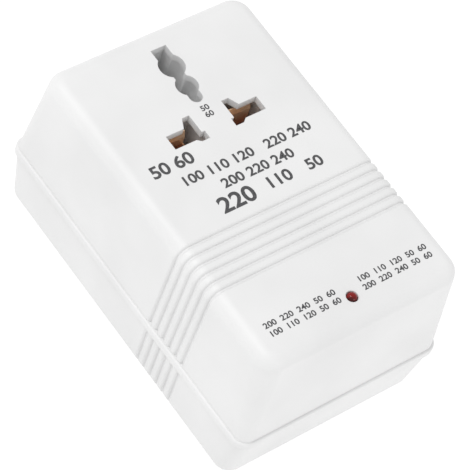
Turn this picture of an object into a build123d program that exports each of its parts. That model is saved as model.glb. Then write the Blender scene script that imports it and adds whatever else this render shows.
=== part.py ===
"""Travel voltage converter with a multi-standard socket and a folding two-blade plug.

Frame: the origin is the centre of the flat back, +Z runs to the socket face,
+Y to the socket end and +X to the side with the voltage selector. Millimetres.
"""
import os

from build123d import *

os.makedirs("parts", exist_ok=True)

# Casing, outside
body_depth = 54.0            # flat back to socket face
rim_width = 67.3             # front shell wall where it meets the lip
rim_length = 108.2
rim_radius = 3.6
face_width = 66.1            # front shell walls carried up to the face plane
face_length = 102.7
face_radius = 6.0
face_fillet = 4.2
split_height = 17.7          # seam between the two shells
lip_height = 2.3
lip_proud = 0.7
lip_radius = 4.2
lip_round = 0.6
rear_rim_width = 66.9        # rear shell wall under the lip
rear_rim_length = 108.6
rear_rim_radius = 3.5
back_width = 66.2            # rear shell walls carried down to the back plane
back_length = 104.6
back_radius = 5.0
back_fillet = 2.3

# Casing, inside
wall = 2.0
face_thickness = 2.4
back_thickness = 2.2
tongue_thickness = 0.9
tongue_rise = 1.8
tongue_foot = 2.2
tongue_gap = 0.25
overrun = 1.0                # how far a cutting tool runs past the surface

# Grip grooves over the face and down both long sides
groove_count = 6
groove_pitch = 2.93
groove_centre = -18.7        # middle of the grooved band along Y
groove_mouth = 2.88          # width of the rolled shoulders at their top
groove_rise = 0.08           # top of the shoulders above the surface that they cut
groove_floor = 0.5
groove_depth = 0.7
groove_corner = 4.0          # bend of the grooves over the edge of the face

# Screws that hold the case together
case_screw_inset_x = 4.55    # from the clear space inside the shells
case_screw_inset_y = 5.35
case_boss_radius = 3.4
case_boss_rib = 1.4
case_tube_radius = 4.0
case_boss_gap = 0.3
case_seat_height = 9.0       # underside of the screw heads
case_screw_radius = 1.5
case_screw_reach = 18.0
case_head_radius = 2.8
case_head_height = 2.0
head_clearance = 0.3
shank_clearance = 0.2
thread_clearance = 0.05
pilot_extra = 2.0
drive_width_share = 0.28     # cross recess in a head, as shares of the head
drive_length_share = 1.3
drive_depth_share = 0.55

# Socket openings in the face; line and neutral mirror each other
pin_row_y = 17.55            # centre of the row of two flat-pin openings
pin_slot_height = 4.5
pin_slot_outer = 15.1
blade_slot_inner = 5.4
blade_slot_outer = 7.7
blade_slot_top = 22.8
blade_slot_shoulder = 9.2
foot_inner = 4.4
foot_bottom = 14.3
foot_top = 16.8
foot_toe = 7.0
foot_heel = 8.2
earth_top = 44.9
earth_slot_width = 5.0
earth_large_y = 38.4
earth_large_radius = 3.85
earth_waist_width = 3.6
earth_small_y = 31.2
earth_small_radius = 3.3
earth_tail_width = 3.9
earth_tail_end = 25.2

opening_round = 0.35         # soft edge of every opening in the face

# Inner moulding that carries the contacts
carrier_wall = 1.2
carrier_half_width = 17.6
carrier_start_y = 12.6
chamber_inner = 3.8
chamber_outer = 16.4
chamber_bottom = 13.8
chamber_top = 23.4
chamber_depth = 17.2
earth_pocket_depth = 20.8
earth_pocket_gap = 0.3
carrier_lug_x = 11.5
carrier_lug_y = 32.0
carrier_lug_radius = 3.0
carrier_lug_thickness = 2.4
carrier_lug_drop = 11.2      # face underside to the top of the lugs
carrier_post_radius = 2.8
carrier_screw_radius = 1.25
carrier_screw_reach = 7.6
carrier_head_radius = 2.2
carrier_head_height = 1.6

# Copper contact clips
clip_sheet = 0.5
clip_start_x = 7.3
clip_end_x = 14.8
clip_gap = 6.0               # between the sheet centres at the foot
clip_waist = 5.1             # between the sheet centres where they grip
clip_mouth = 6.9             # between the sheet centres at the flared tips
clip_height = 16.0
clip_waist_height = 9.0
clip_flare_height = 14.2
clip_knee_height = 3.0
clip_bend = 0.6
clip_wing_height = 12.0
clip_tab_x = 10.0
clip_tab_width = 3.0
clip_tab_drop = 5.9
clip_tab_gap = 0.1

# Indicator lamp and its board
lamp_y = -43.6
lamp_radius = 1.5
lamp_hole_radius = 1.65
lamp_proud = 0.7
lamp_body = 5.0
lamp_rim_radius = 1.9
lamp_rim_height = 1.0
lamp_lead_radius = 0.25
dome_share = 0.97            # dome radius as a share of the lamp's
lamp_lead_pitch = 1.27
board_width = 15.0
board_length = 11.0
board_thickness = 1.6
board_drop = 5.0             # face underside to the board
board_post_x = 5.6
board_post_y = -47.0
board_post_radius = 1.6
board_pin_radius = 0.8
board_pin_reach = 2.4
board_pin_gap = 0.1
resistor_radius = 1.2
resistor_length = 6.3
resistor_y = -41.0
diode_radius = 1.0
diode_length = 4.6
diode_y = -45.5
small_lead_radius = 0.3
small_lead_run = 1.2
part_standoff = 0.2

# Transformer
core_side_gap = 4.05         # laminations to the clear space inside the shells
core_start_y = -39.5
limbs_per_width = 6          # proportions of an E and I core
limbs_per_length = 5
cheek_base = 2.9             # underside of the bobbin's cheeks
cheek_face_gap = 4.5         # cheeks to the inside of the face
cheek_overhang = 8.6         # cheeks past the laminations, above and below
core_hole_radius = 1.9
core_joint_gap = 0.05
core_clamp_thickness = 1.2
core_boss_radius = 4.0
core_screw_radius = 1.75
core_screw_end = 5.1         # height of the screws' tips
core_head_radius = 3.0
core_head_height = 2.4
bobbin_gap = 0.2
bobbin_wall = 1.0
bobbin_cheek = 1.2
bobbin_end_gap = 0.3
bobbin_side_gap = 0.4        # cheeks to the outer limbs
inner_winding_share = 0.405  # of the room between tube and cheek edge
outer_winding_share = 0.432
tape_build = 0.4
winding_corner_share = 0.35   # corner radius as a share of the build below it
terminal_width = 1.6
terminal_thickness = 0.6
terminal_rise = 2.9
terminal_root = 1.6
terminal_edge = 3.6          # outermost terminal to the side of the cheek
terminal_count = 5
lamp_terminal_pitch = 8.0
cutoff_radius = 1.25
cutoff_length = 9.5
cutoff_y = -17.5
cutoff_gap = 0.1
cutoff_lead_radius = 0.4
cutoff_lead_run = 3.5

# Folding plug in the back
hinge_y = 10.0
hinge_z = 4.6
barrel_radius = 4.2
barrel_length = 19.2
barrel_flat = 0.4
blade_pitch = 12.7
blade_thickness = 1.5
blade_width = 6.35
blade_exposed = 17.5         # blade length below the back when unfolded
blade_root = 2.0
blade_tip_chamfer = 1.2
blade_tip_bevel = 0.35
blade_hole_radius = 1.6
blade_hole_from_tip = 4.7
recess_width = 20.0
recess_end_gap = 0.8
barrel_gap = 0.5
recess_wall = 2.4
recess_end_wall = 1.8
recess_height = 9.4
pivot_radius = 1.5
pivot_end_x = 13.3
pivot_gap = 0.08
pivot_slot_gap = 0.15
plug_cover_thickness = 1.6
plug_cover_wide_y = 14.0
plug_cover_half_width = 20.4
plug_cover_tongue_gap = 0.15
cover_screw_x = 16.8
cover_screw_y = 17.2
cover_screw_step = 12.4
cover_boss_radius = 3.0
cover_screw_radius = 1.25
cover_screw_reach = 6.5
cover_head_radius = 2.2
cover_head_height = 1.6
detent_sheet = 0.4
detent_width = 8.0
detent_length = 8.4
plug_clip_sheet = 0.6
plug_clip_start_x = 12.6
plug_clip_width = 6.0
plug_clip_top = 11.5
plug_clip_rib = 1.2
plug_clip_rib_gap = 0.2
plug_clip_rib_height = 9.0

# Voltage selector on the +X wall
selector_y = 24.0
selector_below_middle = 1.8  # below the middle of the front shell's wall
selector_wall_gap = 0.16
selector_depth = 8.8
selector_height = 11.0
selector_length = 17.0
selector_plate = 1.2
selector_side = 1.0
selector_ear_length = 25.0
selector_ear_depth = 3.0
selector_window_length = 12.0
selector_window_height = 6.2
slider_length = 9.6
slider_height = 8.0
slider_thickness = 1.6
slider_gap = 0.3
knob_length = 6.4
knob_height = 5.6
knob_proud = 1.8             # knob past the front of the housing
knob_ridge_depth = 0.3
knob_ridge_pitch = 1.2
knob_ridge_width = 0.6
knob_ridge_count = 4
bridge_thickness = 0.6
bridge_length = 7.4
bridge_height = 4.0
lug_pitch = 5.0
lug_height = 3.0
lug_thickness = 0.6
lug_reach = 2.5              # lugs past the back of the housing
lug_gap = 0.3
selector_screw_y = 10.5
selector_screw_radius = 1.1
selector_screw_reach = 4.0
selector_seat_depth = 1.2    # under the screw heads, from the front of the housing
selector_travel = 5.0
selector_head_radius = 2.2
selector_head_height = 1.1

# Insulated wires
wire_radius = 0.8
wire_bend = 1.6
wire_above_cheek = 1.6
input_rise = 7.5             # straight up from the plug clips
input_run_y = 16.0
input_run_drop = 10.5        # below the selector
neutral_rise = 12.5
neutral_low_y = 9.0
neutral_high_y = 8.0
neutral_high_drop = 4.7      # below the wires on the coil
neutral_bend_y = 2.0
output_bend_y = 6.6
output_turn_y = 10.2
output_turn_drop = 5.7
output_run_drop = 4.2        # below the floor of the contact chambers
tap_turn_y = 9.4
low_tap_bend_y = 5.4
low_tap_drop = 3.7
low_tap_run_drop = 6.4       # below the selector
high_tap_bend_y = 1.6
high_tap_turn_y = 3.6
high_tap_inset = 6.6         # from the front of the selector
high_tap_start_drop = 3.2
high_tap_end_drop = 6.7
lamp_wire_radius = 0.5
lamp_wire_bend = 1.0
lamp_wire_y = -39.6


def inner_wall_x(z):
    """Half the clear width inside the front shell at a height."""
    share = (z - split_height) / (face_inside - split_height)
    return (inner_rim_width + share * (inner_face_width - inner_rim_width)) / 2


# Planes and faces that several pieces share
lip_top = split_height + lip_height
face_inside = body_depth - face_thickness
inner_rim_width = rim_width - 2 * wall
inner_rim_length = rim_length - 2 * wall
inner_face_width = face_width - 2 * wall
inner_face_length = face_length - 2 * wall
inner_width = min(inner_rim_width, inner_face_width)
inner_length = min(inner_rim_length, inner_face_length)
case_screw_span_x = inner_width - 2 * case_screw_inset_x
case_screw_span_y = inner_length - 2 * case_screw_inset_y
case_bosses = GridLocations(case_screw_span_x, case_screw_span_y, 2, 2)
pin_slot_bottom = pin_row_y - pin_slot_height / 2
pin_slot_top = pin_row_y + pin_slot_height / 2
chamber_floor = face_inside - chamber_depth
earth_floor = face_inside - earth_pocket_depth
carrier_bottom = chamber_floor - carrier_wall
carrier_lug_top = face_inside - carrier_lug_drop
carrier_lug_bottom = carrier_lug_top - carrier_lug_thickness
board_top = face_inside - board_drop
board_bottom = board_top - board_thickness
cheek_top = face_inside - cheek_face_gap
bobbin_cheek_half_height = (cheek_top - cheek_base) / 2
stack_middle = cheek_base + bobbin_cheek_half_height
stack_base = cheek_base + cheek_overhang
stack_top = cheek_top - cheek_overhang
stack_height = stack_top - stack_base
core_width = inner_width - 2 * core_side_gap
core_limb = core_width / limbs_per_width
core_length = core_limb * limbs_per_length
core_end_y = core_start_y + core_length
window_start_y = core_start_y + core_limb
window_end_y = core_end_y - core_limb
clamp_top = stack_top + core_clamp_thickness
core_screw_reach = clamp_top - core_screw_end
hole_inset = core_limb / 2
core_holes = [
    (side * (core_width / 2 - hole_inset), y)
    for side in (-1, 1)
    for y in (core_start_y + hole_inset, core_end_y - hole_inset)
]
cheek_start_y = window_start_y + bobbin_end_gap
cheek_end_y = window_end_y - bobbin_end_gap
bobbin_cheek_half_width = 2 * core_limb - bobbin_side_gap
terminal_pitch = 2 * (bobbin_cheek_half_width - terminal_edge) / (terminal_count - 1)
wire_height = cheek_top + wire_above_cheek
blade_reach = blade_exposed + hinge_z
recess_start_y = hinge_y - barrel_radius - barrel_gap
recess_end_y = hinge_y + blade_reach + recess_end_gap
recess_length = recess_end_y - recess_start_y
recess_middle_y = (recess_start_y + recess_end_y) / 2
plug_cover_top = recess_height + plug_cover_thickness
cover_screws = [
    (side * cover_screw_x, cover_screw_y + step * cover_screw_step)
    for side in (-1, 1)
    for step in (0, 1)
]
selector_z = (lip_top + face_inside) / 2 - selector_below_middle
selector_front_x = (
    min(inner_wall_x(selector_z - selector_height / 2), inner_wall_x(selector_z + selector_height / 2))
    - selector_wall_gap
)
knob_front_x = selector_front_x + knob_proud
selector_seat_x = selector_front_x + selector_seat_depth
selector_back_x = selector_front_x - selector_depth
cavity_front_x = selector_front_x - selector_plate
slider_front_x = cavity_front_x - slider_gap
slider_back_x = slider_front_x - slider_thickness
bridge_back_x = slider_back_x - bridge_thickness
lug_front_x = bridge_back_x - lug_gap
lug_bottom = selector_z - lug_height / 2
slider_rest_y = selector_y - selector_travel / 2
terminal_y = cheek_end_y - bobbin_cheek / 2
terminal_face_y = terminal_y + terminal_thickness / 2
lamp_terminal_y = cheek_start_y + bobbin_cheek / 2
lamp_terminal_face_y = lamp_terminal_y - terminal_thickness / 2
tube_half_width = core_limb + bobbin_gap + bobbin_wall
tube_half_height = stack_height / 2 + bobbin_gap + bobbin_wall
winding_room = bobbin_cheek_half_width - tube_half_width
inner_winding_build = winding_room * inner_winding_share
outer_winding_build = winding_room * outer_winding_share
tape_half_height = tube_half_height + inner_winding_build + outer_winding_build + tape_build
lug_end_x = selector_back_x - lug_reach
lug_x = (lug_end_x + selector_back_x) / 2
selector_screw_places = [(selector_y + side * selector_screw_y, selector_z) for side in (-1, 1)]
clip_tab_middle_x = clip_tab_x + clip_tab_width / 2
clip_tab_face_y = pin_row_y - clip_sheet / 2


groove_places = [
    groove_centre + (step - (groove_count - 1) / 2) * groove_pitch
    for step in range(groove_count)
]


def draw_groove_profile():
    """One groove across its run: shoulders that roll into a narrow floor."""
    half = groove_mouth / 2
    floor = groove_floor / 2
    with BuildLine() as outline:
        Line((-half, groove_rise), (half, groove_rise))
        TangentArc((half, groove_rise), (floor, -groove_depth), tangent=(-1, 0))
        Line((floor, -groove_depth), (-floor, -groove_depth))
        TangentArc((-half, groove_rise), (-floor, -groove_depth), tangent=(1, 0))
    make_face(outline.edges())


def draw_pin_opening(side):
    """Outline of the line (side 1) or neutral (side -1) opening."""
    points = [
        (foot_inner, foot_bottom),
        (foot_toe, foot_bottom),
        (foot_heel, pin_slot_bottom),
        (pin_slot_outer, pin_slot_bottom),
        (pin_slot_outer, pin_slot_top),
        (blade_slot_shoulder, pin_slot_top),
        (blade_slot_outer, blade_slot_top),
        (blade_slot_inner, blade_slot_top),
        (blade_slot_inner, foot_top),
        (foot_inner, foot_top),
    ]
    with BuildLine() as outline:
        Polyline(*[(side * x, y) for x, y in points], close=True)
    make_face(outline.edges())


def draw_earth_opening(gap):
    """Key-shaped earth opening, widened by gap on every side."""
    tail_radius = earth_tail_width / 2 + gap
    tail_centre = earth_tail_end + earth_tail_width / 2
    from_bottom = (Align.CENTER, Align.MIN)
    with Locations((0, earth_large_y)):
        Circle(earth_large_radius + gap)
        Rectangle(earth_slot_width + 2 * gap, earth_top + gap - earth_large_y, align=from_bottom)
    with Locations((0, earth_small_y)):
        Circle(earth_small_radius + gap)
        Rectangle(earth_waist_width + 2 * gap, earth_large_y - earth_small_y, align=from_bottom)
    with Locations((0, tail_centre)):
        Circle(tail_radius)
        Rectangle(2 * tail_radius, earth_small_y - tail_centre, align=from_bottom)


def make_screw(head_radius, head_height, shank_radius, reach):
    """A screw on its seat: head above height zero, shank below, cross recess on top."""
    width = head_radius * drive_width_share
    length = head_radius * drive_length_share
    with BuildPart() as screw:
        with BuildSketch():
            Circle(head_radius)
        extrude(amount=head_height)
        with BuildSketch(Plane.XY.offset(head_height)):
            Rectangle(length, width)
            Rectangle(width, length)
        extrude(amount=-head_height * drive_depth_share, mode=Mode.SUBTRACT)
        with BuildSketch():
            Circle(shank_radius)
        extrude(amount=-reach)
        chamfer(screw.edges().sort_by(Axis.Z)[0], shank_radius / 3)
    return screw.part


def make_wire(radius, bend, points):
    """An insulated wire swept along rounded corners through the points."""
    with BuildPart() as wire:
        with BuildLine() as route:
            FilletPolyline(*points, radius=bend)
        run = route.line
        with BuildSketch(Plane(run @ 0, z_dir=run % 0)):
            Circle(radius)
        sweep(path=run)
    return wire.part


# The lip around the rim of the front shell, joined to that shell below
with BuildPart() as lip:
    with BuildSketch(Plane.XY.offset(split_height)):
        RectangleRounded(rim_width + 2 * lip_proud, rim_length + 2 * lip_proud, lip_radius)
    extrude(amount=lip_height)
    fillet(lip.faces().sort_by(Axis.Z)[-1].edges(), lip_round)

# Cutting tool for the grooves over the face and down the front shell's long sides
with BuildPart() as face_grooves:
    for groove_y in groove_places:
        with BuildLine(Plane.XZ.offset(-groove_y)) as groove_run:
            FilletPolyline(
                (-rim_width / 2, lip_top),
                (-face_width / 2, body_depth),
                (face_width / 2, body_depth),
                (rim_width / 2, lip_top),
                radius=groove_corner,
            )
        run = groove_run.line
        with BuildSketch(Plane(run @ 0, x_dir=(0, 1, 0), z_dir=run % 0)):
            draw_groove_profile()
        sweep(path=run)

# The deep outer shell: socket face, side walls and lip
with BuildPart() as front_shell:
    with BuildSketch(Plane.XY.offset(lip_top)):
        RectangleRounded(rim_width, rim_length, rim_radius)
    with BuildSketch(Plane.XY.offset(body_depth)):
        RectangleRounded(face_width, face_length, face_radius)
    loft(ruled=True)
    fillet(front_shell.faces().sort_by(Axis.Z)[-1].edges(), face_fillet)

    add(face_grooves.part, mode=Mode.SUBTRACT)
    add(lip.part)

    with BuildSketch(Plane.XY.offset(split_height)):
        RectangleRounded(inner_rim_width, inner_rim_length, rim_radius - wall)
    with BuildSketch(Plane.XY.offset(face_inside)):
        RectangleRounded(inner_face_width, inner_face_length, face_radius - wall)
    loft(ruled=True, mode=Mode.SUBTRACT)

    # Corner bosses for the case screws, each tied to the long wall by a rib above the tongue
    with BuildSketch(Plane.XY.offset(split_height + case_boss_gap)):
        with case_bosses:
            Circle(case_boss_radius)
    extrude(until=Until.NEXT)
    rib_run = (rim_width - case_screw_span_x - wall) / 2
    rib_start_z = split_height + tongue_rise + case_boss_gap
    with BuildSketch(Plane.XY.offset(rib_start_z)):
        with GridLocations(case_screw_span_x + rib_run, case_screw_span_y, 2, 2):
            Rectangle(rib_run, case_boss_rib)
    extrude(amount=face_inside - rib_start_z)

    # Posts for the contact carrier and for the lamp board
    with BuildSketch(Plane.XY.offset(carrier_lug_top)):
        with Locations((-carrier_lug_x, carrier_lug_y), (carrier_lug_x, carrier_lug_y)):
            Circle(carrier_post_radius)
    extrude(amount=carrier_lug_drop)
    with BuildSketch(Plane.XY.offset(board_top)):
        with Locations((-board_post_x, board_post_y), (board_post_x, board_post_y)):
            Circle(board_post_radius)
    extrude(amount=board_drop)
    with BuildSketch(Plane.XY.offset(board_top)):
        with Locations((-board_post_x, board_post_y), (board_post_x, board_post_y)):
            Circle(board_pin_radius)
    extrude(amount=-board_pin_reach)

    # Openings in the face
    with BuildSketch(Plane.XY.offset(body_depth)):
        draw_pin_opening(1)
        draw_pin_opening(-1)
        draw_earth_opening(0)
        with Locations((0, lamp_y)):
            Circle(lamp_hole_radius)
    extrude(amount=-face_thickness, mode=Mode.SUBTRACT)
    opening_edges = [
        edge
        for face in front_shell.faces().filter_by(Plane.XY).filter_by_position(Axis.Z, body_depth, body_depth)
        for wire in face.inner_wires()
        for edge in wire.edges()
    ]
    fillet(opening_edges, opening_round)

    # Pilot holes
    case_pilot = case_screw_reach + pilot_extra + case_seat_height - split_height - case_boss_gap
    with BuildSketch(Plane.XY.offset(split_height + case_boss_gap)):
        with case_bosses:
            Circle(case_screw_radius + thread_clearance)
    extrude(amount=case_pilot, mode=Mode.SUBTRACT)
    carrier_pilot = carrier_screw_reach - carrier_lug_thickness + pilot_extra
    with BuildSketch(Plane.XY.offset(carrier_lug_top)):
        with Locations((-carrier_lug_x, carrier_lug_y), (carrier_lug_x, carrier_lug_y)):
            Circle(carrier_screw_radius + thread_clearance)
    extrude(amount=carrier_pilot, mode=Mode.SUBTRACT)

    # Window and screw holes for the voltage selector
    with BuildSketch(Plane.YZ.offset(selector_front_x - overrun)):
        with Locations((selector_y, selector_z)):
            Rectangle(selector_window_length, selector_window_height)
        with Locations(*selector_screw_places):
            Circle(selector_screw_radius + shank_clearance)
    extrude(amount=rim_width - selector_front_x, mode=Mode.SUBTRACT)
    with BuildSketch(Plane.YZ.offset(selector_seat_x)):
        with Locations(*selector_screw_places):
            Circle(selector_head_radius + shank_clearance)
    extrude(amount=rim_width - selector_seat_x, mode=Mode.SUBTRACT)

front_shell.part.label = "front_shell"
export_step(front_shell.part, "parts/front_shell.step")

# The shallow shell with the back, the plug recess and the screw tubes
with BuildPart() as rear_shell:
    with BuildSketch():
        RectangleRounded(back_width, back_length, back_radius)
    with BuildSketch(Plane.XY.offset(split_height)):
        RectangleRounded(rear_rim_width, rear_rim_length, rear_rim_radius)
    loft(ruled=True)
    fillet(rear_shell.faces().sort_by(Axis.Z)[0].edges(), back_fillet)

    for groove_y in groove_places:
        for side in (-1, 1):
            with BuildLine(Plane.XZ.offset(-groove_y)) as groove_run:
                Line((side * back_width / 2, 0), (side * rear_rim_width / 2, split_height))
            run = groove_run.line
            with BuildSketch(Plane(run @ 0, x_dir=(0, -side, 0), z_dir=run % 0)):
                draw_groove_profile()
            sweep(path=run, mode=Mode.SUBTRACT)

    with BuildSketch(Plane.XY.offset(back_thickness)):
        RectangleRounded(back_width - 2 * wall, back_length - 2 * wall, back_radius - wall)
    with BuildSketch(Plane.XY.offset(split_height)):
        RectangleRounded(rear_rim_width - 2 * wall, rear_rim_length - 2 * wall, rear_rim_radius - wall)
    loft(ruled=True, mode=Mode.SUBTRACT)

    # Tongue that stands inside the rim of the front shell, on a ledge of this shell's wall
    tongue_width = inner_rim_width - 2 * tongue_gap
    tongue_length = inner_rim_length - 2 * tongue_gap
    tongue_radius = rim_radius - wall - tongue_gap
    tongue_inner_width = tongue_width - 2 * tongue_thickness
    tongue_inner_length = tongue_length - 2 * tongue_thickness
    tongue_inner_radius = tongue_radius - tongue_thickness
    with BuildSketch(Plane.XY.offset(split_height - tongue_foot)):
        RectangleRounded(rear_rim_width - wall, rear_rim_length - wall, rear_rim_radius - wall / 2)
        RectangleRounded(tongue_inner_width, tongue_inner_length, tongue_inner_radius, mode=Mode.SUBTRACT)
    extrude(amount=tongue_foot)
    with BuildSketch(Plane.XY.offset(split_height)):
        RectangleRounded(tongue_width, tongue_length, tongue_radius)
        RectangleRounded(tongue_inner_width, tongue_inner_length, tongue_inner_radius, mode=Mode.SUBTRACT)
    extrude(amount=tongue_rise)

    # Screw tubes, transformer bosses, plug-cover bosses, recess walls, clip ribs
    with BuildSketch():
        with case_bosses:
            Circle(case_tube_radius)
    extrude(amount=split_height)
    with BuildSketch(Plane.XY.offset(back_thickness)):
        with Locations(*core_holes):
            Circle(core_boss_radius)
    extrude(amount=stack_base - back_thickness)
    with BuildSketch(Plane.XY.offset(back_thickness)):
        with Locations(*cover_screws):
            Circle(cover_boss_radius)
        with Locations((0, recess_middle_y)):
            Rectangle(recess_width + 2 * recess_wall, recess_length + 2 * recess_end_wall)
    extrude(amount=recess_height - back_thickness)
    rib_x = plug_clip_start_x + plug_clip_sheet + plug_clip_rib_gap + plug_clip_rib / 2
    with BuildSketch(Plane.XY.offset(back_thickness)):
        with Locations((-rib_x, hinge_y), (rib_x, hinge_y)):
            Rectangle(plug_clip_rib, plug_clip_width)
    extrude(amount=plug_clip_rib_height - back_thickness)

    # Recess for the folded plug, and the open-topped slots its pivots turn in
    with BuildSketch():
        with Locations((0, recess_middle_y)):
            Rectangle(recess_width, recess_length)
    extrude(amount=recess_height, mode=Mode.SUBTRACT)
    slot_radius = pivot_radius + pivot_gap
    slot_span = recess_width + 2 * recess_wall
    with BuildSketch(Plane.YZ.offset(-slot_span / 2)):
        with Locations((hinge_y, hinge_z)):
            Circle(slot_radius)
            Rectangle(2 * slot_radius, recess_height - hinge_z, align=(Align.CENTER, Align.MIN))
    extrude(amount=slot_span, mode=Mode.SUBTRACT)

    # Counterbores and through holes for the case screws, and the pilot holes
    with BuildSketch():
        with case_bosses:
            Circle(case_head_radius + head_clearance)
    extrude(amount=case_seat_height, mode=Mode.SUBTRACT)
    with BuildSketch(Plane.XY.offset(case_seat_height)):
        with case_bosses:
            Circle(case_screw_radius + shank_clearance)
    extrude(amount=split_height - case_seat_height, mode=Mode.SUBTRACT)
    with BuildSketch(Plane.XY.offset(stack_base)):
        with Locations(*core_holes):
            Circle(core_screw_radius + thread_clearance)
    extrude(amount=clamp_top - core_screw_reach - thread_clearance - stack_base, mode=Mode.SUBTRACT)
    with BuildSketch(Plane.XY.offset(recess_height)):
        with Locations(*cover_screws):
            Circle(cover_screw_radius + thread_clearance)
    extrude(amount=plug_cover_thickness - cover_screw_reach - thread_clearance, mode=Mode.SUBTRACT)

rear_shell.part.label = "rear_shell"
export_step(rear_shell.part, "parts/rear_shell.step")

# Four screws driven from the back
with BuildPart() as case_screws:
    seat = Plane((0, 0, case_seat_height), x_dir=(1, 0, 0), z_dir=(0, 0, -1))
    screw = seat.location * make_screw(
        case_head_radius, case_head_height, case_screw_radius, case_screw_reach
    )
    with case_bosses:
        add(screw)

case_screws.part.label = "case_screws"
export_step(case_screws.part, "parts/case_screws.step")

# Inner moulding behind the face: two contact chambers and the earth pocket
with BuildPart() as socket_carrier:
    chamber_block_end = chamber_top + carrier_wall
    with BuildSketch(Plane.XY.offset(carrier_bottom)):
        with Locations((0, carrier_start_y)):
            Rectangle(
                2 * carrier_half_width, chamber_block_end - carrier_start_y, align=(Align.CENTER, Align.MIN)
            )
    extrude(amount=face_inside - carrier_bottom)
    column_width = 2 * (earth_large_radius + earth_pocket_gap + carrier_wall)
    column_end = earth_top + earth_pocket_gap + carrier_wall
    with BuildSketch(Plane.XY.offset(earth_floor - carrier_wall)):
        with Locations((0, chamber_top)):
            Rectangle(column_width, column_end - chamber_top, align=(Align.CENTER, Align.MIN))
    extrude(amount=face_inside - earth_floor + carrier_wall)
    with BuildSketch(Plane.XY.offset(carrier_lug_bottom)):
        with Locations((0, carrier_lug_y)):
            Rectangle(2 * carrier_lug_x, 2 * carrier_lug_radius)
        with Locations((-carrier_lug_x, carrier_lug_y), (carrier_lug_x, carrier_lug_y)):
            Circle(carrier_lug_radius)
    extrude(amount=carrier_lug_thickness)
    with BuildSketch(Plane.XY.offset(face_inside)):
        for side in (-1, 1):
            with Locations((side * (chamber_inner + chamber_outer) / 2, (chamber_bottom + chamber_top) / 2)):
                Rectangle(chamber_outer - chamber_inner, chamber_top - chamber_bottom)
    extrude(amount=-chamber_depth, mode=Mode.SUBTRACT)
    with BuildSketch(Plane.XY.offset(face_inside)):
        draw_earth_opening(earth_pocket_gap)
    extrude(amount=-earth_pocket_depth, mode=Mode.SUBTRACT)
    with BuildSketch(Plane.XY.offset(carrier_bottom)):
        for side in (-1, 1):
            with Locations((side * (clip_tab_x + clip_tab_width / 2), pin_row_y)):
                Rectangle(clip_tab_width + 2 * clip_tab_gap, clip_sheet + 2 * clip_tab_gap)
    extrude(amount=carrier_wall, mode=Mode.SUBTRACT)
    with BuildSketch(Plane.XY.offset(carrier_lug_bottom)):
        with Locations((-carrier_lug_x, carrier_lug_y), (carrier_lug_x, carrier_lug_y)):
            Circle(carrier_screw_radius + shank_clearance)
    extrude(amount=carrier_lug_thickness, mode=Mode.SUBTRACT)

socket_carrier.part.label = "socket_carrier"
export_step(socket_carrier.part, "parts/socket_carrier.step")

# Two screws that hold the carrier up against its posts
with BuildPart() as carrier_screws:
    seat = Plane((0, 0, carrier_lug_bottom), x_dir=(1, 0, 0), z_dir=(0, 0, -1))
    screw = seat.location * make_screw(
        carrier_head_radius, carrier_head_height, carrier_screw_radius, carrier_screw_reach
    )
    with Locations((-carrier_lug_x, carrier_lug_y), (carrier_lug_x, carrier_lug_y)):
        add(screw)

carrier_screws.part.label = "carrier_screws"
export_step(carrier_screws.part, "parts/carrier_screws.step")


def make_contact(side):
    """Sprung copper clip for a flat pin, with a wing for the narrow blade and a solder tab."""
    seat_z = chamber_floor + clip_sheet / 2
    half_profile = [
        (clip_mouth / 2, clip_height),
        (clip_gap / 2 - clip_bend / 2, clip_flare_height),
        (clip_waist / 2, clip_waist_height),
        (clip_gap / 2, clip_knee_height),
        (clip_gap / 2, 0),
    ]
    points = [(pin_row_y + y, seat_z + z) for y, z in half_profile]
    points += [(pin_row_y - y, seat_z + z) for y, z in reversed(half_profile)]
    with BuildPart() as contact:
        with BuildSketch(Plane.YZ.offset(clip_start_x)):
            with BuildLine() as strip:
                FilletPolyline(*points, radius=clip_bend)
            make_face(offset(strip.line, amount=clip_sheet / 2, side=Side.BOTH, mode=Mode.PRIVATE).edges())
        extrude(amount=clip_end_x - clip_start_x)
        with BuildSketch(Plane.XY.offset(chamber_floor)):
            with Locations((clip_start_x, pin_row_y)):
                Rectangle(clip_sheet, clip_waist, align=(Align.MIN, Align.CENTER))
        extrude(amount=clip_wing_height)
        with BuildSketch(Plane.XY.offset(chamber_floor + clip_sheet)):
            with Locations((clip_tab_x, pin_row_y)):
                Rectangle(clip_tab_width, clip_sheet, align=(Align.MIN, Align.CENTER))
        extrude(amount=-clip_tab_drop - clip_sheet)
        if side < 0:
            mirror(about=Plane.YZ, mode=Mode.REPLACE)
    return contact.part


with BuildPart() as line_contact:
    add(make_contact(1))

line_contact.part.label = "line_contact"
export_step(line_contact.part, "parts/line_contact.step")

with BuildPart() as neutral_contact:
    add(make_contact(-1))

neutral_contact.part.label = "neutral_contact"
export_step(neutral_contact.part, "parts/neutral_contact.step")

# Red indicator lamp, its leads and its board
with BuildPart() as lamp:
    lamp_base = body_depth + lamp_proud - lamp_body
    with BuildSketch(Plane.XY.offset(lamp_base)):
        with Locations((0, lamp_y)):
            Circle(lamp_radius)
    extrude(amount=lamp_body)
    fillet(lamp.edges().sort_by(Axis.Z)[-1], lamp_radius * dome_share)
    with BuildSketch(Plane.XY.offset(lamp_base)):
        with Locations((0, lamp_y)):
            Circle(lamp_rim_radius)
    extrude(amount=lamp_rim_height)

lamp.part.label = "lamp"
export_step(lamp.part, "parts/lamp.step")

with BuildPart() as lamp_leads:
    with BuildSketch(Plane.XY.offset(board_top)):
        with Locations((-lamp_lead_pitch / 2, lamp_y), (lamp_lead_pitch / 2, lamp_y)):
            Circle(lamp_lead_radius)
    extrude(amount=lamp_base - board_top)

lamp_leads.part.label = "lamp_leads"
export_step(lamp_leads.part, "parts/lamp_leads.step")

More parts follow.
